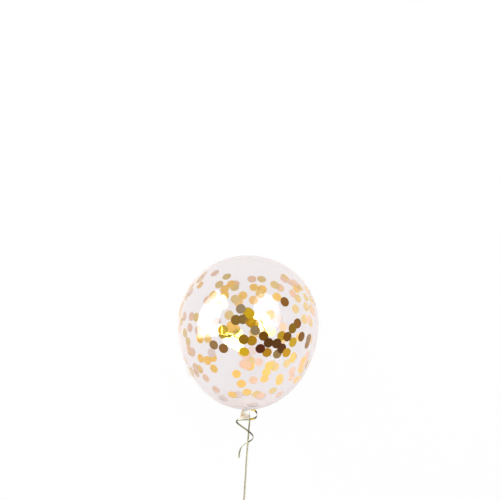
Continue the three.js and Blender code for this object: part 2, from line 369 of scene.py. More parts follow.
curl_path = smooth_route(CURL_ROUTE, CURL_ROUTE_STEPS)
curl_gone = length_gone(curl_path)
curl = ribbon_strip(
    "ribbon_curled_end", curl_path, directions_along(CURL_WIDTH_TOWARDS, len(curl_path)), gold_ribbon,
    cup=np.interp(curl_gone, GOLD_LENGTH, CURL_CUPS), sunk=CURL_SUNK,
    painted_dark=np.interp(curl_gone, PAINTED_DARK_END, (1, 0)),
)
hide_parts("ribbon_curl")


# Ribbon tie. The ribbon goes three times round the gathered neck and is pulled tight in an overhand
# knot at the neck's right, from which both ends leave.
TIE_MIDDLE = 0.1915
TIE_INNER_RADIUS = 0.00555
TIE_WRAPS = 3
TIE_WRAP_STEP = 0.00028
TIE_WRAP_SIDES = 48
TIE_RIBBON_WIDTH = 0.0030
# How far the wraps stray along the neck, how many times for each turn, and where that starts
TIE_WANDER = 0.00035
TIE_WANDER_RATE = 0.7
TIE_WANDER_START = 1
TIE_KNOT_PLACE = (0.0085, -TIE_MIDDLE, 0.0)
TIE_KNOT_SIZE = (0.0062, 0.0042, 0.0052)
# The knot's roll of ribbon before it is scaled: its height and half axes, its folds and its steps
KNOT_HEIGHT = 1.4
ROLL_HALF_WIDTH = 1.05
ROLL_HALF_THICKNESS = 0.8
ROLL_FOLD = 0.12
KNOT_STEPS = 120
KNOT_SIDES = 14
KNOT_SHARP_DEGREES = 80


def laid_down(points):
    """Points about the balloon's own axis, with the crown along +Y and the widest ring at 0, turned by the
    neck's dip about X and moved to the widest ring's middle."""
    x, y, z = np.moveaxis(np.asarray(points, float), -1, 0)
    dipped = np.stack([
        x,
        y * math.cos(NECK_DIP) - z * math.sin(NECK_DIP),
        y * math.sin(NECK_DIP) + z * math.cos(NECK_DIP),
    ], -1)
    return dipped + ring_middle


def tight_knot(place, size):
    """The points, faces and uv of an overhand knot pulled tight: a roll of ribbon along the trefoil curve
    (sin t + 2 sin 2t, cos t - 2 cos 2t, -height sin 3t). Its oval section is 1 + fold * cos(3 turn + 2t)
    times as large at each turn round it. The whole is laid with the curve's height along X, and scaled to
    the knot's size, so that its strands touch."""
    t = np.linspace(0, 2 * math.pi, KNOT_STEPS, endpoint=False)
    curve = np.stack([
        np.sin(t) + 2 * np.sin(2 * t),
        np.cos(t) - 2 * np.cos(2 * t),
        -KNOT_HEIGHT * np.sin(3 * t),
    ], -1)
    onward = unit(np.roll(curve, -1, 0) - np.roll(curve, 1, 0))
    sideways = unit(np.cross(onward, curve))
    lift = np.cross(onward, sideways)
    turn = np.linspace(0, 2 * math.pi, KNOT_SIDES, endpoint=False)
    fold = 1 + ROLL_FOLD * np.cos(3 * turn[None, :] + 2 * t[:, None])
    roll = (
        curve[:, None]
        + sideways[:, None] * (ROLL_HALF_WIDTH * fold * np.cos(turn))[..., None]
        + lift[:, None] * (ROLL_HALF_THICKNESS * fold * np.sin(turn))[..., None]
    )
    low = roll.reshape(-1, 3).min(0)
    high = roll.reshape(-1, 3).max(0)
    points = np.roll((roll - (high + low) / 2) / (high - low), 1, -1) * np.array(size) + np.array(place)
    faces = grid_faces(KNOT_STEPS + 1, KNOT_SIDES) % (KNOT_STEPS * KNOT_SIDES)
    uv = np.stack(np.broadcast_arrays(turn[None, :] / (2 * math.pi), t[:, None]), -1)
    return points, faces, uv


wrap_turn = np.linspace(0, 2 * math.pi * TIE_WRAPS, TIE_WRAP_SIDES * TIE_WRAPS + 1)
wrap_radius = TIE_INNER_RADIUS + TIE_WRAP_STEP * wrap_turn / (2 * math.pi)
wrap_path = laid_down(np.stack([
    wrap_radius * np.cos(wrap_turn),
    -TIE_MIDDLE + TIE_WANDER * np.sin(wrap_turn * TIE_WANDER_RATE + TIE_WANDER_START),
    wrap_radius * np.sin(wrap_turn),
], -1))
axis_direction = np.broadcast_to(laid_down([0, 1, 0]) - laid_down([0, 0, 0]), wrap_path.shape)
# The wraps take the whole painted dark reflection where they stand on their edge
wraps = ribbon_strip("ribbon_wraps", wrap_path, axis_direction, gold_ribbon, TIE_RIBBON_WIDTH, painted_dark=1.0)
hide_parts("ribbon_tie")
knot_points, knot_faces, knot_uv = tight_knot(TIE_KNOT_PLACE, TIE_KNOT_SIZE)
new_piece(
    "ribbon_knot", laid_down(knot_points), knot_faces, knot_uv, gold_ribbon, KNOT_SHARP_DEGREES,
)


# Hand loop. At its far end the ribbon is doubled back into a loop to hold, standing on its edge and
# leaning a little, and tied with the same knot.
HAND_KNOT_SIZE = (0.0086, 0.0104, 0.0056)
HAND_KNOT_GAP = 0.0003
HAND_KNOT_REACH = 0.0055
HAND_KNOT_HEIGHT = 0.0032
LOOP_RADIUS = 0.0118
LOOP_REACH = 0.034
LOOP_HEIGHT = 0.0027
LOOP_LEAN = 0.45
LOOP_BOW_STEPS = 60
LOOP_LEG_STEPS = 16
LOOP_LEG_START = 0.02
UPWARDS = np.array([0.0, 0.0, 1.0])

tail_end_x, tail_end_y, _ = TAIL_ROUTE[-1]
hand_knot_place = (tail_end_x, tail_end_y - HAND_KNOT_GAP - HAND_KNOT_REACH, HAND_KNOT_HEIGHT)
knot_points, knot_faces, knot_uv = tight_knot(hand_knot_place, HAND_KNOT_SIZE)
hand_knot = new_piece(
    "ribbon_hand_knot", knot_points, knot_faces, knot_uv, gold_ribbon, KNOT_SHARP_DEGREES,
)
mark_film(hand_knot, np.zeros(KNOT_STEPS * KNOT_SIDES), np.full(KNOT_STEPS * KNOT_SIDES, TAIL_LENGTH))
meet = math.acos(LOOP_RADIUS / LOOP_REACH)
bow_turn = np.linspace(-math.pi + meet, math.pi - meet, LOOP_BOW_STEPS) - math.pi / 2
bow = np.stack([LOOP_RADIUS * np.cos(bow_turn), LOOP_RADIUS * np.sin(bow_turn) - LOOP_REACH], -1)
leg = np.linspace(LOOP_LEG_START, 1, LOOP_LEG_STEPS, endpoint=False)[:, None]
teardrop = np.concatenate([bow[0] * leg, bow, bow[-1] * leg[::-1]]) + hand_knot_place[:2]
loop_path = np.column_stack([teardrop, np.full(len(teardrop), LOOP_HEIGHT)])
loop_side = unit(np.cross(np.gradient(loop_path, axis=0), UPWARDS))
hand_loop = ribbon_strip(
    "ribbon_hand_loop_bow", loop_path, UPWARDS + LOOP_LEAN * loop_side, gold_ribbon, start=TAIL_LENGTH,
)
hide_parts("ribbon_hand_loop")


# Latex. One dipped skin: the inflated body, stretched so thin that it is clear, then the neck, gathered
# inside the ribbon, where the latex is thicker, cream and cloudy, and the rolled lip round its mouth.
SHOULDER_RADIUS = 0.016
GATHER_RADIUS = 0.0050
# Places along the neck are distances from the widest ring, and a curve bends towards its handle
SHOULDER_HANDLE = 0.1877
GATHER_START = 0.1898
GATHER_END = 0.1948
FLARE_HANDLE = (0.0088, 0.1985)
LIP_ALONG = 0.2087
LIP_OUT = 0.0087
LIP_BEAD_RADIUS = 0.0013
LIP_BEAD_DEGREES = (10, 330)
INNER_HANDLE = (0.0079, 0.1992)
INNER_END_PAST_GATHER = 0.002
NECK_WALL = 0.0005
MOUTH_FLOOR = 0.1962
MOUTH_FLOOR_HANDLE = 0.004
OUTLINE_STEPS = dict(crown=60, neck_side=70, shoulder=16, gather=6, flare=14, bead=18, inner=12, floor=8)
AROUND = 192
# Eleven pleats, deepest just past the start of the gathers, with smaller ones between them
PLEATS = 11
PLEAT_DEPTH = 0.11
PLEAT_PAST_GATHER = 0.001
PLEAT_SPREAD = 0.0045
SMALL_PLEAT_SHARE = 0.4
SMALL_PLEAT_TURN = 1
INNER_PLEAT_SHARE = 0.6
LIP_WOBBLE = 0.03
LIP_WOBBLE_TURN = 0.6
FLOOR_GAP = 0.0002
MERGE_DISTANCE = 1e-7
WHITE = (1, 1, 1, 1)
# The next two are each a value face on, a value edge on, and the power of the change between them
FILM_MILKINESS = (0.0, 0.85, 3.6)
FILM_MIRROR = (0.026, 0.30, 4)
FILM_TINT = (0.93, 0.905, 0.912, 1)
FILM_MILK = (0.81, 0.75, 0.74, 1)
FILM_ROUGHNESS = 0.06
INNER_GLOSS = 0.12
NECK_CREAM = (0.64, 0.50, 0.23, 1)
NECK_CLEAR = (0.995, 0.99, 0.985, 1)
NECK_ROUGHNESS = 0.28
NECK_IOR = 1.52
NECK_GLOW = 0.45
NECK_EDGE_ON = (0.2, 0.8)
NECK_CLOUDINESS = (0.8, 1.0)
LIP_PEACH = (0.90, 0.76, 0.62, 1)
LIP_CLOUD = 0.75
# The clear body turns milky from here to the gathers, up to this share, by this power
CLOUDY_FROM = 0.145
CLOUDY_MOST = 0.8
CLOUDY_POWER = 2.2
BUNCH_POWER = 2.5
LIP_ROLL = 0.65
LIP_ROLL_SWING = 0.35


def quadratic(first, handle, last, count):
    """Points of the curve (1 - t)^2 first + 2 t (1 - t) handle + t^2 last."""
    t = np.linspace(0, 1, count)[:, None]
    return (1 - t) ** 2 * np.array(first) + 2 * t * (1 - t) * np.array(handle) + t**2 * np.array(last)


def latex_outline():
    """(radius, distance towards the neck) of the whole skin, stretch by stretch, from the crown's pole,
    over two quarter ellipses, the shoulder, the gathers, the flare and the lip's bead, back inside and to
    the middle of the mouth's floor."""
    steps = OUTLINE_STEPS
    crown_turn = np.linspace(0, math.pi / 2, steps["crown"])
    crown = np.stack([BODY_RADIUS * np.sin(crown_turn), -CROWN_HEIGHT * np.cos(crown_turn)], -1)
    shoulder_turn = math.pi - math.asin(SHOULDER_RADIUS / BODY_RADIUS)
    side_turn = np.linspace(math.pi / 2, shoulder_turn, steps["neck_side"])[1:]
    neck_side = np.stack([BODY_RADIUS * np.sin(side_turn), -NECK_SIDE_HEIGHT * np.cos(side_turn)], -1)
    gather_start = (GATHER_RADIUS, GATHER_START)
    shoulder_handle = (GATHER_RADIUS, SHOULDER_HANDLE)
    shoulder = quadratic(neck_side[-1], shoulder_handle, gather_start, steps["shoulder"])[1:]
    gather_along = np.linspace(GATHER_START, GATHER_END, steps["gather"])[1:]
    gather = np.stack([np.full(len(gather_along), GATHER_RADIUS), gather_along], -1)
    bead_turn = np.radians(np.linspace(*LIP_BEAD_DEGREES, steps["bead"]))
    bead = np.stack([
        LIP_OUT + LIP_BEAD_RADIUS * np.sin(bead_turn),
        LIP_ALONG - LIP_BEAD_RADIUS * np.cos(bead_turn),
    ], -1)
    flare = quadratic(gather[-1], FLARE_HANDLE, bead[0], steps["flare"])[1:-1]
    inner_end = (GATHER_RADIUS - NECK_WALL, GATHER_END + INNER_END_PAST_GATHER)
    inner = quadratic(bead[-1], INNER_HANDLE, inner_end, steps["inner"])[1:]
    floor_handle = (MOUTH_FLOOR_HANDLE, MOUTH_FLOOR)
    floor = quadratic(inner[-1], floor_handle, (0, MOUTH_FLOOR), steps["floor"])[1:]
    return dict(
        crown=crown, neck_side=neck_side, shoulder=shoulder, gather=gather, flare=flare, bead=bead,
        inner=inner, floor=floor,
    )


def mixed(tree, share, first, second):
    """A mix of two shader nodes: all of the first where the share is 0, all of the second where it is 1."""
    return add_node(tree, "MixShader", {"Fac": share, 1: first.outputs[0], 2: second.outputs[0]})


def film_material():
    """Clear latex: light goes through with a faint tint, some is scattered by the milky skin where it is
    seen edge on and near the neck, and the surface mirrors like varnish, less on its powdered inside."""
    material, tree = node_material("clear latex film")
    tree.nodes.remove(tree.nodes["Principled BSDF"])
    edge_on = add_node(tree, "LayerWeight", {"Blend": 0.5}).outputs["Facing"]

    def power_curve(least, most, power):
        """least + (most - least) * how far the surface is seen edge on, to a power."""
        rise = worked(tree, "POWER", edge_on, power)
        return add_node(tree, "MapRange", {"Value": rise, "To Min": least, "To Max": most}).outputs["Result"]

    clear = add_node(tree, "BsdfTransparent", {"Color": FILM_TINT})
    milk = add_node(tree, "BsdfDiffuse", {"Color": FILM_MILK})
    cloud = worked(tree, "ADD", power_curve(*FILM_MILKINESS), point_attribute(tree, "near_neck"))
    body = mixed(tree, cloud, clear, milk)
    inside = add_node(tree, "NewGeometry").outputs["Backfacing"]
    powder = add_node(tree, "MapRange", {"Value": inside, "To Min": 1.0, "To Max": INNER_GLOSS})
    mirrored = worked(tree, "MULTIPLY", power_curve(*FILM_MIRROR), powder.outputs["Result"])
    gloss = add_node(tree, "BsdfGlossy", {"Color": WHITE, "Roughness": FILM_ROUGHNESS})
    surface = mixed(tree, mirrored, body, gloss)
    set_inputs(tree, tree.nodes["Material Output"], {"Surface": surface.outputs[0]})
    return material


def neck_material():
    """Unstretched latex: clear on the right, cream and cloudy where its pleats bunch on the left, a little
    more so edge on, and peach in the rolled lip."""
    material, tree = node_material("cream latex neck")
    rolled = point_attribute(tree, "rolled")
    colour = colour_ramp(tree, rolled, [(0.0, NECK_CREAM), (1.0, LIP_PEACH)])
    shader = tree.nodes["Principled BSDF"]
    set_inputs(tree, shader, {"Base Color": colour, "Roughness": NECK_ROUGHNESS, "IOR": NECK_IOR})
    glow = add_node(tree, "BsdfTranslucent", {"Color": colour})
    through = mixed(tree, NECK_GLOW, shader, glow)
    clear = add_node(tree, "BsdfTransparent", {"Color": NECK_CLEAR})
    cloudy = add_node(tree, "MapRange", {
        "Value": add_node(tree, "LayerWeight", {"Blend": 0.5}).outputs["Facing"],
        "From Min": NECK_EDGE_ON[0], "From Max": NECK_EDGE_ON[1],
        "To Min": NECK_CLOUDINESS[0], "To Max": NECK_CLOUDINESS[1],
    })
    pleated = worked(tree, "MULTIPLY", cloudy.outputs["Result"], point_attribute(tree, "bunched"))
    hidden = add_node(
        tree, "Math", {0: rolled, 1: LIP_CLOUD, 2: pleated}, operation="MULTIPLY_ADD", use_clamp=True,
    )
    surface = mixed(tree, hidden.outputs[0], clear, through)
    set_inputs(tree, tree.nodes["Material Output"], {"Surface": surface.outputs[0]})
    return material


stretches = latex_outline()
outline = np.concatenate(list(stretches.values()))
ends = dict(zip(stretches, np.cumsum([len(stretch) for stretch in stretches.values()])))
towards_neck = outline[:, 1]
turn = np.linspace(0, 2 * math.pi, AROUND, endpoint=False)
from_deepest = towards_neck - GATHER_START - PLEAT_PAST_GATHER
pleat_depth = PLEAT_DEPTH * np.exp(-((from_deepest / PLEAT_SPREAD) ** 2))
pleat_depth[ends["bead"]:] *= INNER_PLEAT_SHARE
wobble = LIP_WOBBLE * np.clip((towards_neck - GATHER_END) / (LIP_ALONG - GATHER_END), 0, 1)
pleats = np.cos(PLEATS * turn) + SMALL_PLEAT_SHARE * np.cos(2 * PLEATS * turn + SMALL_PLEAT_TURN)
radius = outline[:, :1] * (
    1
    + pleat_depth[:, None] * pleats[None, :]
    + wobble[:, None] * np.cos(2 * turn + LIP_WOBBLE_TURN)[None, :]
)
skin = laid_down(np.stack([
    radius * np.sin(turn)[None, :],
    np.broadcast_to(-outline[:, 1:], radius.shape),
    radius * np.cos(turn)[None, :],
], -1))
skin[..., 2] = np.maximum(skin[..., 2], FLOOR_GAP)
down_outline = np.linspace(0, 1, len(outline))[:, None]
skin_uv = np.stack(np.broadcast_arrays(turn[None, :] / (2 * math.pi), down_outline), -1)
skin_faces = grid_faces(len(outline), AROUND)[:, ::-1]
latex = new_piece("latex_balloon", skin, skin_faces, skin_uv, film_material(), sharp_degrees=60)
latex.data.materials.append(neck_material())
face_row = np.repeat(np.arange(len(outline) - 1), AROUND)
latex.data.polygons.foreach_set("material_index", (face_row >= ends["shoulder"] + 1).astype(np.int32))
cloudy_share = np.clip((towards_neck - CLOUDY_FROM) / (GATHER_START - CLOUDY_FROM), 0, 1) ** CLOUDY_POWER
near_neck = np.repeat(CLOUDY_MOST * cloudy_share, AROUND)
on_lip = np.zeros((len(outline), 1))
on_lip[ends["flare"] - 1:ends["bead"] + 1] = 1
outer_skin = (np.arange(len(outline)) < ends["bead"]).astype(float)[:, None]
write_attribute(latex, "near_neck", near_neck)
write_attribute(latex, "rolled", on_lip * (LIP_ROLL + LIP_ROLL_SWING * np.cos(turn)))
write_attribute(latex, "bunched", outer_skin * (0.5 - 0.5 * np.sin(turn)) ** BUNCH_POWER)
shell = bmesh.new()
shell.from_mesh(latex.data)
bmesh.ops.remove_doubles(shell, verts=shell.verts, dist=MERGE_DISTANCE)
shell.to_mesh(latex.data)
shell.free()
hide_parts("balloon")


# Confetti. Round discs punched from gold foil cling to the inside of the latex. The side against the
# latex is mirror-bright, and the side that faces the balloon's inside is satin and paler. A few have
# turned over or lean, so that they mirror a softbox or the room, and some of those are creased. The
# mirror side's tones are partly its gold and partly painted reflection: the dark ones paint the dark
# room that a tilted foil would mirror, and the pale glint tone paints a whiter highlight on the softbox.
DISC_DIAMETER = 0.0205
DISC_SIZES = (0.96, 1.04)
DISC_SIDES = 20
FOIL_THICKNESS = 0.00012
WALL_GAP = 0.0005
LAYER_STEP = 0.0005
LAYERS = 4
OUTLINE_MIDDLE_PIXEL = (247.7, 333.3)
OUTLINE_RADIUS = 0.150
# Places as the camera sees them: (right, up) from the outline's middle, as shares of its radius
# Near discs by tone: their darker tones are partly painted reflection of the dark ceiling above them
NEAR_DISCS = {
    "maroon": [(0.18, -0.22)],
    "umber": [(0.30, -0.14), (0.42, -0.15), (0.49, -0.22)],
    "brown": [(0.57, -0.05), (0.72, 0.14), (0.53, 0.45), (0.23, -0.04), (0.77, -0.05), (0.86, -0.16)],
    "tan": [(-0.49, -0.17), (-0.35, -0.22), (0.87, -0.08)],
    "sand": [(-0.10, 0.35), (0.11, 0.04)],
    "olive": [(-0.17, 0.19), (-0.07, 0.20), (0.43, -0.30), (0.65, 0.07), (-0.06, -0.09), (-0.69, -0.08)],
    "gold": [(0.06, -0.11), (0.04, 0.16), (0.56, -0.28), (0.28, -0.28)],
    "lemon": [(0.00, 0.30), (0.03, 0.28), (0.09, 0.13), (0.65, -0.13), (0.49, -0.04)],
}
FAR_DISCS = {
    "gold": [
        (-0.33, 0.63), (0.21, 0.63), (0.09, 0.66), (-0.07, 0.54), (0.42, 0.52), (-0.49, -0.51),
        (-0.16, -0.58), (-0.09, -0.72), (0.27, -0.56), (-0.01, -0.84), (0.65, -0.36), (-0.50, -0.35),
        (0.46, -0.64), (-0.68, -0.36), (-0.58, -0.39), (0.24, -0.65), (-0.24, 0.71), (-0.17, 0.06),
        (-0.25, 0.05), (-0.38, 0.48), (-0.35, 0.41), (-0.33, 0.54), (-0.22, -0.88), (0.46, -0.69),
        (0.31, -0.47), (0.03, -0.47), (-0.24, 0.11),
    ],
    "olive": [
        (-0.41, 0.70), (-0.30, 0.81), (0.39, 0.70), (0.20, 0.78), (-0.18, 0.49), (0.69, 0.35),
        (0.84, 0.38), (0.72, 0.50), (0.81, 0.20), (0.04, -0.39), (0.35, -0.45), (0.39, -0.48),
        (0.56, -0.43), (0.13, -0.87), (0.36, -0.82), (-0.86, -0.58), (-0.27, 0.26),
    ],
    "peach": [
        (0.06, 0.78), (0.52, 0.77), (0.61, 0.73), (-0.58, 0.47), (0.65, 0.57), (0.88, 0.20),
        (0.94, 0.30), (-0.47, 0.86), (-0.68, 0.78), (-0.82, 0.59), (-0.91, 0.24), (-0.81, 0.24),
        (-0.83, 0.08), (-0.71, 0.05), (-0.79, -0.27), (0.08, -0.67), (-0.01, -0.46), (-0.06, -0.44),
        (0.16, -0.41), (0.78, -0.40), (0.83, -0.44), (0.64, -0.54), (0.63, -0.63), (0.19, -0.90),
        (0.45, -0.87), (-0.46, -0.81), (-0.60, -0.64), (-0.75, -0.51), (-0.73, -0.57),
    ],
    "mauve": [
        (-0.14, -0.87), (0.07, -0.25), (0.10, 0.05), (0.44, 0.21), (0.82, -0.47), (-0.52, -0.28),
        (-0.44, 0.17), (-0.35, -0.93), (0.08, -1.02),
    ],
}
FLAT_GLINTS = [
    (-0.22, -0.06), (-0.16, -0.08), (-0.24, -0.14), (-0.17, -0.17), (-0.29, -0.10), (-0.12, -0.20),
    (-0.42, 0.06), (-0.38, 0.50), (-0.36, 0.42), (0.14, 0.21), (0.20, 0.14), (0.27, 0.21),
    (0.30, 0.12), (0.23, 0.07), (0.15, 0.10),
]
CREASED_GLINTS = [(-0.37, 0.05), (-0.36, -0.01), (-0.14, 0.00), (-0.28, 0.00), (0.33, 0.04)]
CREASED_NEAR = [(0.35, 0.02)]
LEANING_NEAR = [(-0.05, -0.27)]
# Seeded discs where the camera doesn't look: how many, the least and most height along the axis, and the
# least and most that the wall's normal points up
SIDE_SCATTER = (40, -0.13, 0.09, -0.5, 0.05)
UNDER_SCATTER = (20, -0.11, 0.07, -1.0, -0.6)
SCATTER_TONES = (1 / 3, 1)
# Mirror side colours: partly the foil's gold and partly painted reflection. Maroon to olive paint the dark
# room that a tilted disc mirrors, and the pale glint tone paints a whiter highlight on the softbox.
MIRROR_TONES_AND_PAINTED_REFLECTION = {
    "maroon": (0.19, 0.033, 0.001, 1), "umber": (0.20, 0.075, 0.004, 1), "brown": (0.45, 0.18, 0.002, 1),
    "tan": (0.40, 0.22, 0.065, 1), "sand": (0.62, 0.48, 0.28, 1), "olive": (0.42, 0.23, 0.003, 1),
    "gold": (0.85, 0.44, 0.006, 1), "lemon": (1.0, 0.66, 0.010, 1), "glint": (1.0, 0.86, 0.25, 1),
}
SATIN_TONES = {
    "mauve": (0.68, 0.60, 0.58, 1), "peach": (0.76, 0.55, 0.42, 1), "gold": (0.84, 0.56, 0.14, 1),
    "olive": (0.69, 0.55, 0.26, 1),
}
TONE_WANDER = 0.03
WRINKLE_SCALE = 220
WRINKLE_STRENGTH = 0.2
WRINKLE_DEPTH = 0.0002
TILT_WANDER = math.radians(1.5)
GLINT_WANDER = 0.07
CREASE_DEPTH = 0.28
FOLDS = 3
FOLD_SHIFT = 0.4
RIGHT_SOFTBOX_PLACE = (0.78, 0.66, 1.46)
ROOM_WALL_PLACE = (-0.6, -1.6, 1.2)
chance = np.random.default_rng(seed=12)


def own_axes(points):
    """The reverse of laid_down: points in the frame, given about the balloon's own axis."""
    x, y, z = np.moveaxis(np.asarray(points, float) - ring_middle, -1, 0)
    return np.stack([
        x,
        y * math.cos(NECK_DIP) + z * math.sin(NECK_DIP),
        z * math.cos(NECK_DIP) - y * math.sin(NECK_DIP),
    ], -1)


def wall_normal(points):
    """Outward normals of the two half ellipsoids: (x / R^2, y / H^2, z / R^2), made unit length."""
    height = np.where(points[:, 1] > 0, CROWN_HEIGHT, NECK_SIDE_HEIGHT)
    width = np.full(len(points), BODY_RADIUS)
    return unit(points / np.stack([width, height, width], -1) ** 2)


def wall_seen_at(places, side):
    """Where the camera's sight lines through the given places meet the wall, on the balloon's own axes.
    side is -1 for the wall nearer the camera and +1 for the far one. A sight line start + s * direction
    meets a half ellipsoid where the sum of ((start + s * direction) / half axis)^2 is 1."""
    places = np.array(places, float)
    middle = (
        ring_middle
        + picture_right * (OUTLINE_MIDDLE_PIXEL[0] - WIDEST_RING_MIDDLE_PIXEL[0]) * metres_per_pixel
        + picture_up * (WIDEST_RING_MIDDLE_PIXEL[1] - OUTLINE_MIDDLE_PIXEL[1]) * metres_per_pixel
    )
    aim = middle + OUTLINE_RADIUS * (places[:, :1] * picture_right + places[:, 1:] * picture_up)
    start = own_axes(camera_place[None, :])
    direction = own_axes(aim) - start
    found = np.zeros_like(direction)
    for height, half in ((CROWN_HEIGHT, 1), (NECK_SIDE_HEIGHT, -1)):
        axes = np.array([BODY_RADIUS, height, BODY_RADIUS])
        a = ((direction / axes) ** 2).sum(1)
        b = 2 * (start * direction / axes**2).sum(1)
        c = ((start / axes) ** 2).sum(1) - 1
        s = (-b + side * np.sqrt(np.maximum(b * b - 4 * a * c, 0))) / (2 * a)
        meeting = start + s[:, None] * direction
        found = np.where(meeting[:, 1:2] * half > 0, meeting, found)
    return found


def scattered(count, least_height, most_height, least_up, most_up):
    """Seeded places on the wall: an even turn round the axis, an even step along it between two heights,
    kept only where the wall's normal points between least_up and most_up."""
    kept = []
    while len(kept) < count:
        angle = chance.uniform(0, 2 * math.pi)
        along = chance.uniform(least_height, most_height)
        height = CROWN_HEIGHT if along > 0 else NECK_SIDE_HEIGHT
        out = BODY_RADIUS * math.sqrt(1 - (along / height) ** 2)
        point = np.array([[out * math.sin(angle), along, out * math.cos(angle)]])
        up = (laid_down(wall_normal(point)) - ring_middle)[0, 2]
        if least_up < up < most_up:
            kept.append(point[0])
    return np.array(kept)


def tone_number(kind, tones):
    """Where a named tone stands on a ramp of tones, from 0 to 1."""
    return list(tones).index(kind) / (len(tones) - 1)


def tones_of(discs, tones):
    """The tone number of each disc of a table of places by tone."""
    return [tone_number(kind, tones) for kind, places in discs.items() for _ in places]


def nearly_flat(places):
    """The wall's own normals, each leaning a little in its own direction."""
    outward = wall_normal(places)
    return unit(outward + chance.normal(0, TILT_WANDER, outward.shape))


def facing(places, target):
    """Unit normals that mirror the target into the camera, half way between the two sight lines, each
    straying a little, and turned round where they would point into the balloon."""
    to_target = unit(own_axes(np.array([target])) - places)
    to_camera = unit(own_axes(camera_place[None, :]) - places)
    normals = unit(to_target + to_camera + chance.normal(0, GLINT_WANDER, places.shape))
    return normals * np.sign((normals * wall_normal(places)).sum(1, keepdims=True))


def disc_shape(rings):
    """The flat places of one disc's points, the centre and then ring by ring, and the faces of its top,
    wound to the left seen from above. Ring k of n has radius k / n."""
    turn = np.linspace(0, 2 * math.pi, DISC_SIDES, endpoint=False)
    share = np.arange(1, rings + 1)[:, None] / rings
    ring_places = np.stack([share * np.cos(turn), share * np.sin(turn)], -1).reshape(-1, 2)
    index = np.arange(DISC_SIDES)
    fan = np.stack([0 * index, 1 + index, 1 + (index + 1) % DISC_SIDES], -1).tolist()
    bands = (1 + grid_faces(rings, DISC_SIDES)[:, ::-1]).tolist()
    return np.concatenate([np.zeros((1, 2)), ring_places]), fan + bands


def foil_material(name, tones, roughness, metallic, specular):
    """Foil of one side: each disc takes its colour from the ramp by its tone, and fine wrinkles turn its
    mirror a little. On the mirror side the tones are partly painted reflection of the dark room and the
    softbox."""
    material, tree = node_material(name)
    stops = [(tone_number(kind, tones), colour) for kind, colour in tones.items()]
    place = add_node(tree, "TexCoord")
    wrinkles = add_node(tree, "TexNoise", {"Vector": place.outputs["Object"], "Scale": WRINKLE_SCALE})
    set_inputs(tree, tree.nodes["Principled BSDF"], {
        "Base Color": colour_ramp(tree, point_attribute(tree, "tone"), stops),
        "Metallic": metallic,
        "Roughness": roughness,
        "Specular IOR Level": specular,
        "Normal": raised(tree, wrinkles.outputs["Fac"], WRINKLE_STRENGTH, WRINKLE_DEPTH),
    })
    return material


def foil_discs(name, places, faces_out, tones, turned_over, rings, crease):
    """Discs just inside the wall at the given places, each square to its faces_out normal and as far in
    as its lean needs. Crease is the depth of their folds as a share of the radius: each of their random
    folds lifts or sinks a point by its own share of |distance to the fold line|."""
    count = len(places)
    outward = wall_normal(places)
    lean = np.arccos(np.clip((faces_out * outward).sum(1), -1, 1))
    disc_radius = DISC_DIAMETER / 2 * chance.uniform(*DISC_SIZES, count)
    sagitta = disc_radius**2 / (2 * BODY_RADIUS)
    layer = chance.integers(0, LAYERS, count) * LAYER_STEP
    sunk = WALL_GAP + sagitta + disc_radius * (np.sin(lean) + crease) + layer
    middle = places - outward * sunk[:, None]
    disc_u = unit(np.cross(faces_out, unit(chance.normal(0, 1, places.shape))))
    disc_v = np.cross(faces_out, disc_u)
    flat, top = disc_shape(rings)
    fold_turn = chance.uniform(0, math.pi, (count, FOLDS, 1))
    fold_shift = chance.uniform(-FOLD_SHIFT, FOLD_SHIFT, (count, FOLDS, 1))
    folds = np.abs(np.cos(fold_turn) * flat[:, 0] + np.sin(fold_turn) * flat[:, 1] - fold_shift)
    lift = crease * (folds * chance.uniform(-1, 1, (count, FOLDS, 1))).sum(1) * disc_radius[:, None]
    upper = laid_down(
        middle[:, None]
        + disc_u[:, None] * (disc_radius[:, None] * flat[:, 0])[..., None]
        + disc_v[:, None] * (disc_radius[:, None] * flat[:, 1])[..., None]
        + faces_out[:, None] * lift[..., None]
    )
    upper[..., 2] = np.maximum(upper[..., 2], FLOOR_GAP + WALL_GAP + layer[:, None])
    inwards = laid_down(-faces_out) - ring_middle
    points = np.concatenate([upper, upper + inwards[:, None] * FOIL_THICKNESS], 1)
    below = len(flat)
    rim = below - DISC_SIDES + np.arange(DISC_SIDES)
    after = np.roll(rim, -1)
    one_disc = top + [[below + v for v in face[::-1]] for face in top]
    one_disc += np.stack([rim, rim + below, after + below, after], -1).tolist()
    faces = [[v + disc * 2 * below for v in face] for disc in range(count) for face in one_disc]
    uv = np.tile(flat / 2 + 0.5, (2 * count, 1))
    piece = new_piece(name, points, faces, uv, mirror_side, sharp_degrees=30)
    piece.data.materials.append(satin_side)
    upper_slot = np.array(turned_over, np.int32)[:, None]
    slots = np.zeros((count, len(one_disc)), np.int32)
    slots[:, :len(top)] = upper_slot
    slots[:, len(top):2 * len(top)] = 1 - upper_slot
    piece.data.polygons.foreach_set("material_index", slots.ravel())
    write_attribute(piece, "tone", np.repeat(tones, 2 * below))


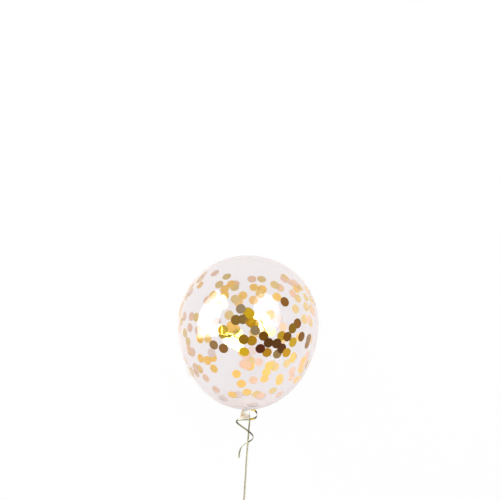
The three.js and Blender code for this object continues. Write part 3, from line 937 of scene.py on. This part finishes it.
mirror_side = foil_material(
    "gold foil mirror side", MIRROR_TONES_AND_PAINTED_REFLECTION, roughness=0.12, metallic=0.75, specular=0.1,
)
satin_side = foil_material(
    "gold foil satin side", SATIN_TONES, roughness=0.7, metallic=0.1, specular=0.2,
)
near_wall = wall_seen_at(sum(NEAR_DISCS.values(), []), -1)
far_wall = wall_seen_at(sum(FAR_DISCS.values(), []), 1)
unseen_wall = np.concatenate([scattered(*SIDE_SCATTER), scattered(*UNDER_SCATTER)])
unseen_tones = chance.uniform(*SCATTER_TONES, len(unseen_wall))
clinging = np.concatenate([near_wall, far_wall, unseen_wall])
clinging_tones = np.concatenate([
    tones_of(NEAR_DISCS, MIRROR_TONES_AND_PAINTED_REFLECTION), tones_of(FAR_DISCS, SATIN_TONES), unseen_tones,
])
clinging_tones = np.clip(clinging_tones + chance.normal(0, TONE_WANDER, len(clinging)), 0, 1)
flat_glints = wall_seen_at(FLAT_GLINTS, 1)
leaning = wall_seen_at(LEANING_NEAR, -1)
glint_tone = tone_number("glint", MIRROR_TONES_AND_PAINTED_REFLECTION)
lemon_tone = tone_number("lemon", MIRROR_TONES_AND_PAINTED_REFLECTION)
foil_discs(
    "foil_confetti",
    np.concatenate([clinging, flat_glints, leaning]),
    np.concatenate([
        nearly_flat(clinging), facing(flat_glints, RIGHT_SOFTBOX_PLACE), facing(leaning, ROOM_WALL_PLACE),
    ]),
    np.concatenate([
        clinging_tones, np.full(len(flat_glints), glint_tone), np.full(len(leaning), lemon_tone),
    ]),
    [False] * len(clinging) + [True] * len(flat_glints) + [False] * len(leaning),
    rings=1, crease=0,
)
creased = np.concatenate([wall_seen_at(CREASED_GLINTS, 1), wall_seen_at(CREASED_NEAR, -1)])
foil_discs(
    "creased_foil_confetti",
    creased,
    facing(creased, RIGHT_SOFTBOX_PLACE),
    chance.uniform(lemon_tone, glint_tone, len(creased)),
    [True] * len(CREASED_GLINTS) + [False] * len(CREASED_NEAR),
    rings=5, crease=CREASE_DEPTH,
)


# Floor and light. A floor with a glow of its own, so that it stays white like the photo's ground, under
# two softboxes and a fill light from above, in a pale room whose ceiling is darker.
FLOOR_RADIUS = 0.9
FLOOR_SIDES = 96
FLOOR_GLOW = 0.93
FLOOR_GREY = 0.05
FLOOR_ROUGHNESS = 0.9
FLOOR_SPECULAR = 0.1
MIRROR_IMAGE_GAP = 0.01
# The room's grey by how far up it is, from the horizon to straight above
ROOM_LIGHT = [(0.0, 0.95), (0.3, 0.75), (0.6, 0.5), (0.85, 0.38), (1.0, 0.34)]
# The darker band on the right: its light, where it starts towards +X, and where it ends on either side
BAND_LIGHT = 0.6
BAND_START = (0.1, 0.5)
BAND_SIDES = (0.3, 0.65)
LEFT_SOFTBOX = dict(
    place=(-1.2, 0.46, 0.84), across=(0, -0.12, 1), along=(0, 1, 0.12), size=(1.02, 1.76), radiance=3.3,
    mirrored=15, shape="RECTANGLE",
)
RIGHT_SOFTBOX = dict(
    place=RIGHT_SOFTBOX_PLACE, across=(0.64, -0.04, -0.39), along=(-0.09, 0.92, -0.42), size=(1.24, 2.05),
    radiance=3, mirrored=7.5, shape="ELLIPSE",
)
OVERHEAD_FILL = dict(
    place=(0, -0.6, 2.1), across=(1, 0, 0), along=(0, 1, 0), size=(1.6, 1.6), radiance=1.2, mirrored=0,
    shape="DISK",
)


def pale_floor():
    """A round floor with a share of its own glow."""
    edge_turn = np.linspace(0, 2 * math.pi, FLOOR_SIDES, endpoint=False)
    rim = FLOOR_RADIUS * np.stack([np.cos(edge_turn), np.sin(edge_turn), 0 * edge_turn], -1)
    mesh = bpy.data.meshes.new("floor")
    mesh.from_pydata(rim.tolist(), [], [list(range(FLOOR_SIDES))])
    material, tree = node_material("pale floor")
    set_inputs(tree, tree.nodes["Principled BSDF"], {
        "Base Color": (FLOOR_GREY, FLOOR_GREY, FLOOR_GREY, 1),
        "Roughness": FLOOR_ROUGHNESS,
        "Specular IOR Level": FLOOR_SPECULAR,
        "Emission Color": WHITE,
        "Emission Strength": FLOOR_GLOW,
    })
    mesh.materials.append(material)
    floor = bpy.data.objects.new("floor", mesh)
    bpy.context.scene.collection.objects.link(floor)


def softbox(name, place, across, along, size, radiance, mirrored, shape):
    """Two area lights, whose sides lie along across and along: one of this radiance that lights matt
    surfaces, and just in front of it a brighter one, of the mirrored radiance, that only glossy surfaces
    mirror. Each one's power is its radiance * pi * area."""
    area = size[0] * size[1] * (math.pi / 4 if shape != "RECTANGLE" else 1)
    x = Vector(across).normalized()
    z = x.cross(Vector(along)).normalized()
    turned = Matrix((x, z.cross(x), z)).transposed().to_4x4()
    for part, strength, forward in (("light", radiance, 0), ("mirror image", mirrored, MIRROR_IMAGE_GAP)):
        if not strength:
            continue
        light = bpy.data.lights.new(name + " " + part, "AREA")
        light.shape = shape
        light.size, light.size_y = size
        light.energy = strength * math.pi * area
        lamp = bpy.data.objects.new(light.name, light)
        lamp.matrix_world = Matrix.Translation(Vector(place) - z * forward) @ turned
        lamp.visible_camera = False
        lamp.visible_glossy = part == "mirror image"
        lamp.visible_diffuse = part == "light"
        bpy.context.scene.collection.objects.link(lamp)


def studio_world():
    """White for the camera. For light and mirrors: pale at the horizon, darker towards the ceiling, and
    darker still in a band that runs from the ceiling to the right."""
    world = bpy.data.worlds.new("studio")
    bpy.context.scene.world = world
    world.use_nodes = True
    tree = world.node_tree
    tree.nodes.clear()
    place = add_node(tree, "TexCoord")
    split = add_node(tree, "SeparateXYZ", {"Vector": place.outputs["Generated"]})
    room = grey_ramp(tree, split.outputs["Z"], ROOM_LIGHT)

    def faded(source, least, most):
        """0 below least, 1 above most, smooth between."""
        limits = {"Value": source, "From Min": least, "From Max": most}
        return add_node(tree, "MapRange", limits, interpolation_type="SMOOTHSTEP").outputs["Result"]

    towards_right = faded(split.outputs["X"], *BAND_START)
    off_band = faded(worked(tree, "ABSOLUTE", split.outputs["Y"]), *BAND_SIDES)
    in_band = worked(tree, "SUBTRACT", towards_right, worked(tree, "MULTIPLY", towards_right, off_band))
    dimmed = add_node(tree, "MapRange", {"Value": in_band, "To Min": 1.0, "To Max": BAND_LIGHT})
    light_room = add_node(tree, "Background", {"Color": room, "Strength": dimmed.outputs["Result"]})
    seen_room = add_node(tree, "Background", {"Color": WHITE})
    for_camera = add_node(tree, "LightPath").outputs["Is Camera Ray"]
    choice = mixed(tree, for_camera, light_room, seen_room)
    add_node(tree, "OutputWorld", {"Surface": choice.outputs[0]})


pale_floor()
softbox("left softbox", **LEFT_SOFTBOX)
softbox("right softbox", **RIGHT_SOFTBOX)
softbox("overhead fill", **OVERHEAD_FILL)
studio_world()
